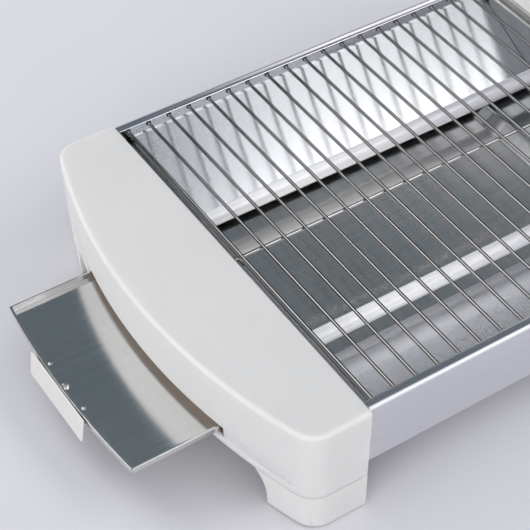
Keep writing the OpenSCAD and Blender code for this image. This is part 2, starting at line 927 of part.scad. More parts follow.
module pilot_lens() {
    tip_x = lens_wall_x + lens_proud;
    color("orangered") translate([0, lens_y, lens_z]) intersection() {
        rod_x(lamp_front_x - lens_seat, tip_x, lens_d);
        translate([tip_x - lens_dome_r, 0, 0]) sphere(lens_dome_r);
    }
}

module block_screw_places() {
    mid_y = block_y + block_w / 2;
    for (i = [-1:1]) {
        translate([block_x + block_len / 4, mid_y + i * block_screw_pitch, block_z + block_h]) children();
    }
}

module terminal_block() {
    color(ceramic) difference() {
        span([block_x, block_y, block_z], [block_x + block_len, block_y + block_w, block_z + block_h]);
        block_screw_places() translate([0, 0, -block_screw_depth])
            cylinder(h = block_screw_depth + cut_over, d = block_screw_d + 2 * run_gap);
    }
}

module terminal_screws() {
    color(satin) block_screw_places() translate([0, 0, -block_screw_depth])
        cylinder(h = block_screw_depth - fit_gap, d = block_screw_d);
}

// Bush in the rear wall of the control end
module cord_gland() {
    color(dark) translate([gland_x, 0, gland_z]) difference() {
        union() {
            rod_y(gland_out_y - gland_flange_t, gland_out_y, gland_flange_d);
            rod_y(gland_out_y - gland_len, gland_out_y - touch_gap, gland_neck_d);
        }
        rod_y(gland_out_y - gland_len - cut_over, gland_out_y + cut_over, gland_bore);
    }
}

module foot_pads() {
    color(dark) both_ends() both_sides() translate([pad_x, pad_y, 0]) cylinder(h = pad_t, d = pad_d);
}

module base_screws() {
    shank = base_t + base_screw_len - fit_gap;
    color(satin) both_ends() boss_places() {
        translate([0, 0, base_h - screw_head_h]) cylinder(h = screw_head_h, d = screw_head_d);
        translate([0, 0, base_h - touch_gap]) cylinder(h = shank, d = screw_d);
    }
}

module bottom_screws() {
    seat_z = panel_z - sheet_t;
    color(satin) both_sides() bottom_screw_places() {
        translate([0, 0, seat_z - screw_head_h]) cylinder(h = screw_head_h, d = screw_head_d);
        translate([0, 0, seat_z - touch_gap]) cylinder(h = bottom_screw_len, d = screw_d);
    }
}

placed() left_end_cap();
placed() right_end_cap();
placed() left_base();
placed() right_base();
placed() front_panel();
placed() rear_panel();
placed() left_end_plate();
placed() right_end_plate();
placed() bottom_plate();
placed() tray_guides();
placed() front_reflector();
placed() rear_reflector();
placed() rack_wires();
placed() rack_cross_wire();
placed() front_quartz_tube();
placed() rear_quartz_tube();
placed() front_heating_coil();
placed() rear_heating_coil();
placed() tube_holders();
placed() heater_terminals();
placed() left_link_lead();
placed() right_leads();
drawn_out() crumb_tray();
drawn_out() tray_handle();
drawn_out() tray_rivets();
drawn_out() tray_screw();
placed() timer_body();
placed() timer_screws();
placed() timer_shaft();
placed() timer_knob();
placed() pilot_lamp();
placed() pilot_lens();
placed() terminal_block();
placed() terminal_screws();
placed() cord_gland();
placed() foot_pads();
placed() base_screws();
placed() bottom_screws();
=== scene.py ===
"""Looks of a flat toaster with a drawn-out crumb tray, built around its CAD frame."""
import json
import math

import bmesh
import bpy
from mathutils import Matrix, Vector


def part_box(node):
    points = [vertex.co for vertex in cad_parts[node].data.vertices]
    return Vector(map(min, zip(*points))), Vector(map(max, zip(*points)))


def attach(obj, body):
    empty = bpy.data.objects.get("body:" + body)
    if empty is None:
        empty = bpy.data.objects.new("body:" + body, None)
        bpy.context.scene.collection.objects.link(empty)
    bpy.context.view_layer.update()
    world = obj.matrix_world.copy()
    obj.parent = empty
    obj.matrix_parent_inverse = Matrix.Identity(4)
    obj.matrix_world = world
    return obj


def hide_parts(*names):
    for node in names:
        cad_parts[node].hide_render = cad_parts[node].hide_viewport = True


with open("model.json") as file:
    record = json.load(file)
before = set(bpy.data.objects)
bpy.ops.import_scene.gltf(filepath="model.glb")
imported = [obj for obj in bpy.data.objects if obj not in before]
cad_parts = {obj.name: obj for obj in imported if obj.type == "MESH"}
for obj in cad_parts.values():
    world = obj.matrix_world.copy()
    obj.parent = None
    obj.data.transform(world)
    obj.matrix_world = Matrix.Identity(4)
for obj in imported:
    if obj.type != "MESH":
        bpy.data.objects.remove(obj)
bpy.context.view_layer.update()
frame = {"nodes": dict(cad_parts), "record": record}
nodes = frame["nodes"]

MM = 0.001


# Node helpers

# Sockets of the Mix node when it mixes colours: share, first, second and result
MIX_INPUTS = (0, 6, 7)
MIX_OUTPUT = 2


def add(tree, kind, links=None, **settings):
    """New shader node: settings are its properties, links maps inputs to sockets or plain values."""
    made = tree.nodes.new(kind)
    for name, value in settings.items():
        setattr(made, name, value)
    for name, value in (links or {}).items():
        if isinstance(value, bpy.types.NodeSocket):
            tree.links.new(value, made.inputs[name])
        else:
            made.inputs[name].default_value = value
    return made


def material(name, **constants):
    """New material with constants on its shader: gives it, its node tree, its shader and the position."""
    made = bpy.data.materials.new(name)
    made.use_nodes = True
    tree = made.node_tree
    shader = tree.nodes["Principled BSDF"]
    for socket, value in constants.items():
        shader.inputs[socket.replace("_", " ")].default_value = value
    place = add(tree, "ShaderNodeTexCoord").outputs["Object"]
    return made, tree, shader, place


def stretched(tree, place, scale):
    """Position scaled by its own factor along each axis."""
    return add(tree, "ShaderNodeMapping", {"Vector": place, "Scale": scale}).outputs["Vector"]


def noise(tree, place, scale, detail=3.0, roughness=0.5):
    """Soft noise from 0 to 1."""
    links = {"Vector": place, "Scale": scale, "Detail": detail, "Roughness": roughness}
    return add(tree, "ShaderNodeTexNoise", links).outputs["Fac"]


def spread(tree, value, low, high, start=0.3, end=0.7):
    """Maps a value between start and end to the range from low to high."""
    links = {"Value": value, "From Min": start, "From Max": end, "To Min": low, "To Max": high}
    return add(tree, "ShaderNodeMapRange", links).outputs["Result"]


def rising(tree, value, edge):
    """Share that goes from 0 to 1 over an edge, given as (start, end)."""
    return spread(tree, value, 0.0, 1.0, *edge)


def falling(tree, value, edge):
    """Share that goes from 1 to 0 over an edge, given as (start, end)."""
    return spread(tree, value, 1.0, 0.0, *edge)


def product(tree, first, second):
    """Product of two values."""
    return add(tree, "ShaderNodeMath", {0: first, 1: second}, operation="MULTIPLY").outputs[0]


def cross_place(tree):
    """Place across the part in metres: depth to the rear, distance from the middle plane, and height."""
    place = add(tree, "ShaderNodeTexCoord").outputs["Object"]
    y, z = add(tree, "ShaderNodeSeparateXYZ", {"Vector": place}).outputs[1:]
    return y, add(tree, "ShaderNodeMath", {0: y}, operation="ABSOLUTE").outputs[0], z


def ramp(tree, value, stops):
    """Colour by a value through stops of (position, colour)."""
    made = add(tree, "ShaderNodeValToRGB", {"Fac": value})
    marks = made.color_ramp.elements
    while len(marks) < len(stops):
        marks.new(0.5)
    for mark, (place, colour) in zip(marks, stops):
        mark.position = place
        mark.color = (*colour, 1.0)
    return made.outputs["Color"]


def tint(tree, value, dark, light, start=0.3, end=0.7):
    """Colour between dark and light by a value."""
    return ramp(tree, value, [(start, dark), (end, light)])


def blend(tree, share, first, second):
    """Colour between two others by a share from 0 to 1."""
    made = add(tree, "ShaderNodeMix", data_type="RGBA")
    for socket, value in zip(MIX_INPUTS, (share, first, second)):
        if isinstance(value, bpy.types.NodeSocket):
            tree.links.new(value, made.inputs[socket])
        else:
            made.inputs[socket].default_value = (*value, 1.0)
    return made.outputs[MIX_OUTPUT]


def bump(tree, height, strength, distance):
    """Normal from a height value; distance is the relief in metres."""
    links = {"Height": height, "Strength": strength, "Distance": distance}
    return add(tree, "ShaderNodeBump", links).outputs["Normal"]


# Materials

def white_plastic(name, depth):
    """Satin white moulding; depth is the share of light that scatters below its surface."""
    made, tree, shader, place = material(
        name, Specular_IOR_Level=0.22, Subsurface_Weight=depth,
        Subsurface_Radius=(1.0, 0.85, 0.75), Subsurface_Scale=0.008
    )
    mottle = noise(tree, place, scale=14.0, detail=4.0)
    grain = noise(tree, place, scale=1400.0, detail=2.0)
    colour = tint(tree, mottle, dark=(0.652, 0.632, 0.617), light=(0.672, 0.653, 0.640))
    tree.links.new(colour, shader.inputs["Base Color"])
    tree.links.new(spread(tree, mottle, low=0.46, high=0.54), shader.inputs["Roughness"])
    tree.links.new(bump(tree, grain, strength=0.10, distance=0.00005), shader.inputs["Normal"])
    return made


def brushed(name, dark, light, rough, grain_scale, relief=0.0, specks=0.0):
    """Rolled or brushed steel with its grain along X.

    Relief is the strength of the streaks' bump, and specks the strength of a few dark spots.
    """
    made, tree, shader, place = material(name, Metallic=1.0)
    streaks = noise(tree, stretched(tree, place, grain_scale), scale=1.0, detail=5.0, roughness=0.65)
    smudge = noise(tree, place, scale=22.0, detail=3.0)
    colour = tint(tree, streaks, dark, light)
    if specks:
        grit = noise(tree, place, scale=330.0, detail=1.0)
        spots = spread(tree, grit, low=0.0, high=specks, start=0.76, end=0.80)
        colour = blend(tree, spots, colour, (0.16, 0.15, 0.14))
    tree.links.new(colour, shader.inputs["Base Color"])
    both = add(tree, "ShaderNodeMath", {0: streaks, 1: smudge}, operation="ADD").outputs[0]
    finish = spread(tree, both, low=rough[0], high=rough[1], start=0.75, end=1.25)
    tree.links.new(finish, shader.inputs["Roughness"])
    if relief:
        tree.links.new(bump(tree, streaks, strength=relief, distance=0.00002), shader.inputs["Normal"])
    return made


def overlay(made, share, colour):
    """Lays a colour over a metal's own, by a share from 0 to 1."""
    tree = made.node_tree
    socket = tree.nodes["Principled BSDF"].inputs["Base Color"]
    tree.links.new(blend(tree, share, socket.links[0].from_socket, colour), socket)


def roughen(made, share, rough):
    """Brings a metal's roughness to another value, by a share from 0 to 1."""
    tree = made.node_tree
    socket = tree.nodes["Principled BSDF"].inputs["Roughness"]
    links = {0: share, 2: socket.links[0].from_socket, 3: rough}
    mixed = add(tree, "ShaderNodeMix", links, data_type="FLOAT")
    tree.links.new(mixed.outputs[0], socket)


def satin_steel():
    """Brushed steel, matt on the panels' outer folds with painted shade dimming their highlight, and
    painted near-black shade in the hollow behind their lips.
    """
    made = brushed(
        "satin_steel", dark=(0.68, 0.68, 0.72), light=(0.78, 0.78, 0.82), rough=(0.11, 0.17),
        grain_scale=(14, 900, 900), relief=0.06
    )
    tree = made.node_tree
    _, reach, z = cross_place(tree)
    # Painted shade: near black inside the hollow between the lip and the outer wall, under the flange.
    lip_back, wall_back, hollow_top = (0.1236, 0.1240), (0.1294, 0.1297), (0.0740, 0.0745)
    across = product(tree, rising(tree, reach, lip_back), falling(tree, reach, wall_back))
    hollow = product(tree, across, falling(tree, z, hollow_top))
    overlay(made, hollow, (0.03, 0.03, 0.03))
    # Painted shade on the outer folds: a slightly darker colour dims their highlight, and a higher
    # roughness spreads it.
    fold_start, fold_low = (0.1276, 0.1284), (0.0738, 0.0750)
    fold = product(tree, rising(tree, reach, fold_start), rising(tree, z, fold_low))
    overlay(made, fold, (0.67, 0.67, 0.70))
    roughen(made, fold, 0.5)
    return made


def polished_steel():
    """Bright rolled steel, with painted shade where the end plates' strips run up to the rear panel's lip.
    """
    made = brushed(
        "polished_steel", dark=(0.70, 0.70, 0.69), light=(0.76, 0.755, 0.745), rough=(0.13, 0.16),
        grain_scale=(10, 300, 300), specks=0.35
    )
    depth, _, _ = cross_place(made.node_tree)
    # Painted shade: near black on the far ends of the end plates' strips, by the rear panel's lip.
    strip_end = (0.113, 0.117)
    overlay(made, rising(made.node_tree, depth, strip_end), (0.05, 0.05, 0.05))
    return made


def zinc_sheet():
    """Spangled zinc sheet, bright above the tray's level, darker grey under the tray and painted near-black
    shade beside it.
    """
    made, tree, shader, place = material("zinc_sheet", Metallic=0.84)
    spangle = add(tree, "ShaderNodeTexVoronoi", {"Vector": place, "Scale": 1100.0}).outputs["Color"]
    facet = add(tree, "ShaderNodeSeparateColor", {"Color": spangle}).outputs[0]
    bright = tint(tree, facet, dark=(0.68, 0.69, 0.715), light=(0.74, 0.75, 0.775), start=0.0, end=1.0)
    _, reach, z = cross_place(tree)
    # At the tray's level: a darker grey under the tray, and painted shade, near black, beside it under the
    # reflectors; farther out the zinc's own colour.
    under_tray_grey, beside_tray_shade, zinc_colour = (0.32, 0.34, 0.35), (0.035, 0.03, 0.03), (0.74, 0.75, 0.77)
    low_colour = ramp(tree, reach, [(0.060, under_tray_grey), (0.064, beside_tray_shade), (0.1155, beside_tray_shade), (0.1165, zinc_colour)])
    level_low, level_high = (0.0315, 0.0318), (0.0395, 0.0402)
    level = product(tree, rising(tree, z, level_low), falling(tree, z, level_high))
    tree.links.new(blend(tree, level, bright, low_colour), shader.inputs["Base Color"])
    rough = spread(tree, facet, low=0.17, high=0.21, start=0.0, end=1.0)
    tree.links.new(rough, shader.inputs["Roughness"])
    return made


def chrome_wire():
    """Dark plated wire with fine drawing marks along Y."""
    made, tree, shader, place = material("chrome_wire", Metallic=1.0, Specular_Tint=(0.25, 0.24, 0.24, 1.0))
    draw = noise(tree, stretched(tree, place, (900.0, 40.0, 900.0)), scale=1.0, detail=3.0)
    colour = tint(tree, draw, dark=(0.28, 0.27, 0.267), light=(0.34, 0.33, 0.326))
    tree.links.new(colour, shader.inputs["Base Color"])
    tree.links.new(spread(tree, draw, low=0.06, high=0.12), shader.inputs["Roughness"])
    return made


def quartz():
    """Milky quartz, streaked along X, with painted shade making it greyer towards the control end."""
    made, tree, shader, place = material("quartz", Coat_Weight=0.3, Coat_Roughness=0.08)
    streaks = noise(tree, stretched(tree, place, (9.0, 420.0, 420.0)), scale=1.0, detail=6.0, roughness=0.6)
    white = tint(tree, streaks, dark=(0.80, 0.80, 0.83), light=(0.97, 0.97, 0.975), start=0.32, end=0.52)
    shaded_grey = tint(tree, streaks, dark=(0.40, 0.40, 0.45), light=(0.62, 0.62, 0.66), start=0.32, end=0.62)
    along = add(tree, "ShaderNodeSeparateXYZ", {"Vector": place}).outputs["X"]
    # Painted shade: the tube turns grey towards the control end.
    shaded_end = (-0.04, 0.09)
    colour = blend(tree, rising(tree, along, shaded_end), white, shaded_grey)
    tree.links.new(colour, shader.inputs["Base Color"])
    tree.links.new(spread(tree, streaks, low=0.30, high=0.18), shader.inputs["Roughness"])
    return made


def plain(name, dark, light, rough, scale, relief, **constants):
    """Moulded, plated or fired surface: two close shades in a fine mottle with a little relief."""
    made, tree, shader, place = material(name, **constants)
    mottle = noise(tree, place, scale, detail=4.0)
    tree.links.new(tint(tree, mottle, dark, light), shader.inputs["Base Color"])
    tree.links.new(spread(tree, mottle, low=rough[0], high=rough[1]), shader.inputs["Roughness"])
    tree.links.new(bump(tree, mottle, strength=0.2, distance=relief), shader.inputs["Normal"])
    return made


MATERIALS = {
    "white_plastic": white_plastic("white_plastic", depth=0.8),
    "satin_steel": satin_steel(),
    "polished_steel": polished_steel(),
    "zinc_sheet": zinc_sheet(),
    "chrome_wire": chrome_wire(),
    "quartz": quartz(),
    "heater_alloy": plain(
        "heater_alloy", dark=(0.16, 0.13, 0.11), light=(0.30, 0.25, 0.22), rough=(0.45, 0.6),
        scale=700.0, relief=0.00003, Metallic=1.0
    ),
    "ceramic": plain(
        "ceramic", dark=(0.80, 0.77, 0.68), light=(0.90, 0.88, 0.82), rough=(0.6, 0.75),
        scale=500.0, relief=0.00008
    ),
    "screw_steel": plain(
        "screw_steel", dark=(0.44, 0.44, 0.43), light=(0.54, 0.54, 0.53), rough=(0.18, 0.30),
        scale=600.0, relief=0.00002, Metallic=1.0
    ),
    "lead_sleeve": plain(
        "lead_sleeve", dark=(0.34, 0.09, 0.05), light=(0.44, 0.13, 0.08), rough=(0.5, 0.65),
        scale=800.0, relief=0.00006
    ),
    "dark_plastic": plain(
        "dark_plastic", dark=(0.035, 0.035, 0.038), light=(0.055, 0.055, 0.06), rough=(0.42, 0.55),
        scale=1200.0, relief=0.00005
    ),
    "lamp_lens": plain(
        "lamp_lens", dark=(0.72, 0.12, 0.04), light=(0.84, 0.18, 0.06), rough=(0.06, 0.12),
        scale=300.0, relief=0.00002
    ),
    "rubber": plain(
        "rubber", dark=(0.03, 0.03, 0.03), light=(0.05, 0.05, 0.05), rough=(0.7, 0.85),
        scale=1500.0, relief=0.00008
    ),
}

for entry in frame["record"]["subparts"]:
    node = nodes[entry["node"]]
    node.data.materials.clear()
    node.data.materials.append(MATERIALS[entry["material_slot"]])


# Mesh helpers, in millimetres

# Edges that turn by more degrees than this stay sharp
SHARP = 32.0
MERGE_DIST = 0.001
WELD_DIST = 0.002


def mm_box(name):
    """Lowest and highest corner of a CAD node in millimetres."""
    low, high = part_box(name)
    return low / MM, high / MM


def solid_boxes(name):
    """Boxes in millimetres of the separate solids in a CAD node."""
    shape = bmesh.new()
    shape.from_mesh(nodes[name].data)
    bmesh.ops.remove_doubles(shape, verts=shape.verts, dist=MERGE_DIST * MM)
    left = set(shape.verts)
    boxes = []
    while left:
        group, queue = set(), [min(left, key=lambda v: v.index)]
        while queue:
            vert = queue.pop()
            if vert not in group:
                group.add(vert)
                queue.extend(edge.other_vert(vert) for edge in vert.link_edges)
        left -= group
        low = Vector([min(v.co[i] for v in group) for i in range(3)])
        high = Vector([max(v.co[i] for v in group) for i in range(3)])
        boxes.append((low / MM, high / MM))
    shape.free()
    return boxes


def arc(centre, radius, start, end, steps):
    """Points of an arc; angles in degrees."""
    angles = [math.radians(start + (end - start) * i / steps) for i in range(steps + 1)]
    return [(centre[0] + radius * math.cos(a), centre[1] + radius * math.sin(a)) for a in angles]


class Form:
    """Closed shells gathered into one mesh, with points in millimetres."""

    def __init__(self):
        self.points = []
        self.faces = []

    def put(self, points, faces):
        """Adds a shell."""
        start = len(self.points)
        self.points.extend(Vector(p) for p in points)
        self.faces.extend([start + i for i in face] for face in faces)

    def loft(self, rings):
        """Adds a shell through closed rings of as many points each, with flat ends."""
        count = len(rings[0])
        faces = [list(range(count))[::-1], [(len(rings) - 1) * count + i for i in range(count)]]
        for j in range(len(rings) - 1):
            for i in range(count):
                k = (i + 1) % count
                faces.append([j * count + i, j * count + k, (j + 1) * count + k, (j + 1) * count + i])
        self.put([p for ring in rings for p in ring], faces)

    def torus(self, rings):
        """Adds a shell through closed rings, the last joined to the first."""
        count = len(rings[0])
        faces = []
        for j in range(len(rings)):
            n = (j + 1) % len(rings)
            for i in range(count):
                k = (i + 1) % count
                faces.append([j * count + i, j * count + k, n * count + k, n * count + i])
        self.put([p for ring in rings for p in ring], faces)

    def lathe(self, profile, place, axis, steps=40, bored=False):
        """Adds a turned shell: profile has (radius, height) along the axis, from the place on."""
        axis = Vector(axis)
        side = axis.orthogonal().normalized()
        turned = axis.cross(side)
        rings = []
        for i in range(steps):
            a = 2 * math.pi * i / steps
            out = side * math.cos(a) + turned * math.sin(a)
            rings.append([Vector(place) + axis * h + out * r for r, h in profile])
        if bored:
            self.torus(rings)
        else:
            self.loft([[rings[i][j] for i in range(steps)] for j in range(len(profile))])

    def box(self, low, high):
        """Adds a box."""
        (x0, y0, z0), (x1, y1, z1) = low, high
        self.loft([[(x0, y0, z), (x1, y0, z), (x1, y1, z), (x0, y1, z)] for z in (z0, z1)])

    def tube(self, path, radius, sides=8):
        """Adds a round rod along a path."""
        path = [Vector(p) for p in path]
        rings = []
        side = (path[1] - path[0]).orthogonal().normalized()
        for i, here in enumerate(path):
            along = (path[min(i + 1, len(path) - 1)] - path[max(i - 1, 0)]).normalized()
            side = (side - along * side.dot(along)).normalized()
            other = along.cross(side)
            turns = [2 * math.pi * k / sides for k in range(sides)]
            rings.append([here + radius * (side * math.cos(t) + other * math.sin(t)) for t in turns])
        self.loft(rings)

    def mesh(self, name, sharp=SHARP):
        """Mesh in metres, smooth but for edges sharper than the angle."""
        made = bpy.data.meshes.new(name)
        made.from_pydata([p * MM for p in self.points], [], self.faces)
        tidy = bmesh.new()
        tidy.from_mesh(made)
        bmesh.ops.recalc_face_normals(tidy, faces=tidy.faces)
        tidy.to_mesh(made)
        tidy.free()
        shade(made, sharp)
        return made


def shade(mesh, sharp):
    """Smooth shading with sharp edges kept."""
    for face in mesh.polygons:
        face.use_smooth = True
    mesh.set_sharp_from_angle(angle=math.radians(sharp))


def show(name, form, slot, body, *stands_for, sharp=SHARP):
    """New piece that rides on a body, with a slot's finish, in place of CAD nodes."""
    mesh = form if isinstance(form, bpy.types.Mesh) else form.mesh(name, sharp)
    mesh.materials.clear()
    mesh.materials.append(MATERIALS[slot])
    made = bpy.data.objects.new(name, mesh)
    bpy.context.scene.collection.objects.link(made)
    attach(made, body)
    if stands_for:
        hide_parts(*stands_for)
    return made


def carved(name, form, cutters, sharp=SHARP):
    """Mesh of a form with other forms cut out of it."""
    scene = bpy.context.scene
    target = bpy.data.objects.new(name, form.mesh(name, sharp))
    scene.collection.objects.link(target)
    tools = []
    for cutter in cutters:
        tool = bpy.data.objects.new("cutter", cutter.mesh("cutter"))
        scene.collection.objects.link(tool)
        step = target.modifiers.new("cut", "BOOLEAN")
        step.operation = "DIFFERENCE"
        step.solver = "EXACT"
        step.object = tool
        tools.append(tool)
    bpy.context.view_layer.update()
    done = target.evaluated_get(bpy.context.evaluated_depsgraph_get())
    mesh = bpy.data.meshes.new_from_object(done)
    mesh.name = name
    for thing in tools + [target]:
        old = thing.data
        bpy.data.objects.remove(thing)
        bpy.data.meshes.remove(old)
    shade(mesh, sharp)
    return mesh


def soften(thing, width, segments=2, angle=40.0):
    """Rounds a piece's sharp edges by a width in millimetres."""
    weld = thing.modifiers.new("weld", "WELD")
    weld.merge_threshold = WELD_DIST * MM
    step = thing.modifiers.new("soft edges", "BEVEL")
    step.width = width * MM
    step.segments = segments
    step.limit_method = "ANGLE"
    step.angle_limit = math.radians(angle)
    step.harden_normals = True


# Sizes that the frame gives

wires_low, wires_high = mm_box("rack_wires")
MID_X = (wires_low.x + wires_high.x) / 2
body_low, body_high = mm_box("left_end_cap")
BODY_H = body_high.z
SEAM_Z = body_low.z
CAP_IN = MID_X - body_high.x


# End caps

CAP_HALF = 131.98
CAP_TIP = 200.5
CAP_CORNER = 15.0
CAP_BOW = 366.0
CAP_FILLET = 2.4
CAP_WALL = 2.2
END_LEAN = 3.8
SIDE_LEAN = 1.0
SLOT_HALF = 72.0
SLOT_LOW, SLOT_HIGH = 30.7, 39.5
SLOT_IN = 24.0
GROOVE_HALF = 119.0
GROOVE_DEPTH = 0.8
GROOVE_OVER = 2.0
CORNER_STEPS, BOW_STEPS, FILLET_STEPS = 16, 56, 8

# Rib over the end plate's strip, and blocks under the panels' ends
STRIP_Z = 71.96
RIB_GAP = 0.3
RIB_HALF = 123.2
BLOCK_IN, BLOCK_OUT, BLOCK_TOP = 123.5, 130.6, 35.7

# Knob's seat and the holes of the control end
TIMER_Z = 47.8
SEAT_X = 194.2
SEAT_R, SEAT_RISE, SEAT_EDGE = 20.0, 7.0, 0.8
SEAT_BORE_R = 4.8
GLAND_HOLE_R, GLAND_HOLE_IN = 7.3, 8.0
LENS_HOLE_R, LENS_HOLE_IN = 4.3, 10.0
CUT_OVER = 4.0

MOULDED_EDGE, RIB_EDGE = 0.35, 0.4


def cap_outline(z, inset):
    """Plan of an end cap at a height, pulled in: (x, y) with x outwards from the body's middle."""
    lean = 1 - z / BODY_H
    half = CAP_HALF - SIDE_LEAN * lean - inset
    tip = CAP_TIP - END_LEAN * lean - inset
    corner = CAP_CORNER - inset
    bow = CAP_BOW - inset
    a = math.degrees(math.asin((half - corner) / (bow - corner)))
    corner_x = tip - bow + (bow - corner) * math.cos(math.radians(a))
    near = arc((corner_x, corner - half), corner, -90, -a, CORNER_STEPS)
    middle = arc((tip - bow, 0), bow, -a, a, BOW_STEPS)
    far = arc((corner_x, half - corner), corner, a, 90, CORNER_STEPS)
    return [(CAP_IN, -half)] + near + middle[1:] + far[1:] + [(CAP_IN, half)]


def at_end(end, x, y, z):
    """Point at one end of the body: end is -1 for the tray end, 1 for the control end."""
    return Vector((MID_X + end * x, y, z))


def cap_shell(form, end):
    """Outer and inner skin of a cap, joined along the seam and the inner edge."""
    turns = [90 * i / FILLET_STEPS for i in range(FILLET_STEPS + 1)]

    def skin(inset, low, high, fillet):
        levels = [(low, inset)]
        for a in turns:
            rise = fillet * (1 - math.sin(math.radians(a)))
            levels.append((high - rise, inset + fillet * (1 - math.cos(math.radians(a)))))
        return [[at_end(end, x, y, z) for x, y in cap_outline(z, d)] for z, d in levels]

    outer = skin(0.0, SEAM_Z, BODY_H, CAP_FILLET)
    inner = skin(CAP_WALL, SEAM_Z, BODY_H - CAP_WALL, CAP_FILLET - CAP_WALL)
    rows, count = len(outer), len(outer[0])
    points = [p for ring in outer + inner for p in ring]
    base = rows * count
    faces = []
    for first in (0, base):
        for j in range(rows - 1):
            for i in range(count - 1):
                here = first + j * count + i
                faces.append([here, here + 1, here + count + 1, here + count])
        faces.append([first + (rows - 1) * count + i for i in range(count)])
    for i in range(count - 1):
        faces.append([i, i + 1, base + i + 1, base + i])
    edge = [j * count for j in range(rows)] + [j * count + count - 1 for j in reversed(range(rows))]
    for a, b in zip(edge, edge[1:]):
        faces.append([a, b, base + b, base + a])
    form.put(points, faces)


def end_box(form, end, x0, x1, y0, y1, z0, z1):
    """Box at one end, with x outwards from the body's middle."""
    low, high = at_end(end, x0, y0, z0), at_end(end, x1, y1, z1)
    form.box((min(low.x, high.x), y0, z0), (max(low.x, high.x), y1, z1))


def cap_edges(form, end):
    """Inner edge of a cap: a rib down to the end plate's strip, and blocks under the panels' ends."""
    inner, outer = CAP_IN, CAP_IN + CAP_WALL
    end_box(form, end, inner, outer, -RIB_HALF, RIB_HALF, STRIP_Z + RIB_GAP, BODY_H - CAP_WALL / 2)
    for side in (-1, 1):
        y0, y1 = sorted((side * BLOCK_IN, side * BLOCK_OUT))
        end_box(form, end, inner, outer, y0, y1, SEAM_Z, BLOCK_TOP)


def groove_cutter(end):
    """Shallow band round the outside of the wall, to both sides of the slot."""
    rings = []
    for z in (SLOT_LOW, SLOT_HIGH):
        tip = CAP_TIP - END_LEAN * (1 - z / BODY_H)
        centre = (tip - CAP_BOW, 0)
        a = math.degrees(math.asin(GROOVE_HALF / CAP_BOW))
        outside = arc(centre, CAP_BOW + GROOVE_OVER, -a, a, BOW_STEPS)
        inside = arc(centre, CAP_BOW - GROOVE_DEPTH, a, -a, BOW_STEPS)
        rings.append([at_end(end, x, y, z) for x, y in outside + inside])
    cutter = Form()
    cutter.loft(rings)
    return cutter


def left_cap():
    """Cap at the tray end, with the tray's slot and the groove."""
    form, slot = Form(), Form()
    cap_shell(form, -1)
    end_box(slot, -1, CAP_TIP - SLOT_IN, CAP_TIP + CUT_OVER, -SLOT_HALF, SLOT_HALF, SLOT_LOW, SLOT_HIGH)
    mesh = carved("left_cap", form, [groove_cutter(-1), slot])
    soften(show("left_cap", mesh, "white_plastic", "toaster", "left_end_cap"), MOULDED_EDGE)
    edges = Form()
    cap_edges(edges, -1)
    soften(show("left_cap_edge", edges, "white_plastic", "toaster"), RIB_EDGE)


def right_cap():
    """Cap at the control end, with the knob's seat and holes for the cord gland and the pilot lens."""
    form = Form()
    cap_shell(form, 1)
    gland_low, gland_high = mm_box("cord_gland")
    lens_low, lens_high = mm_box("pilot_lens")
    gland, lens = Form(), Form()
    gland_mid = (gland_low + gland_high) / 2
    lens_mid = (lens_low + lens_high) / 2
    gland_start = (gland_mid.x, gland_high.y - GLAND_HOLE_IN, gland_mid.z)
    lens_start = (lens_high.x - LENS_HOLE_IN, lens_mid.y, lens_mid.z)
    gland.lathe([(GLAND_HOLE_R, 0), (GLAND_HOLE_R, GLAND_HOLE_IN + CUT_OVER)], gland_start, (0, 1, 0))
    lens.lathe([(LENS_HOLE_R, 0), (LENS_HOLE_R, LENS_HOLE_IN + CUT_OVER)], lens_start, (1, 0, 0))
    mesh = carved("right_cap", form, [gland, lens])
    soften(show("right_cap", mesh, "white_plastic", "toaster", "right_end_cap"), MOULDED_EDGE)
    edges = Form()
    cap_edges(edges, 1)
    soften(show("right_cap_edge", edges, "white_plastic", "toaster"), RIB_EDGE)
    seat = Form()
    shoulder = SEAT_RISE - SEAT_EDGE
    rise = [(SEAT_R, 0), (SEAT_R, shoulder)] + arc((SEAT_R - SEAT_EDGE, shoulder), SEAT_EDGE, 0, 90, 5)
    bore = [(SEAT_BORE_R, SEAT_RISE), (SEAT_BORE_R, 0)]
    seat.lathe(rise + bore, at_end(1, SEAT_X, 0, TIMER_Z), (1, 0, 0), steps=72, bored=True)
    show("knob_seat", seat, "white_plastic", "toaster")


left_cap()
right_cap()
for name in ("left_base", "right_base"):
    soften(nodes[name], MOULDED_EDGE)


# Crumb tray

tray_low, tray_high = mm_box("crumb_tray")
TRAY_BOW = 560.0
SHEET = 0.7
HEM = 2 * SHEET
HEM_NICK = 0.12
FLAP_RISE = 0.9
FLAP_GAP = 0.02
SEAM_GAP = 0.32
TRAY_SHARP = 20.0

# Bend radius and slope of the walls, and the radius of each hem's outer corner
BEND, UPRIGHT = 0.6, 90.0
REAR_BEND, REAR_SLOPE = 3.0, 20.0
FRONT_EDGE, SIDE_EDGE, REAR_EDGE = 0.3, 0.8, 0.12


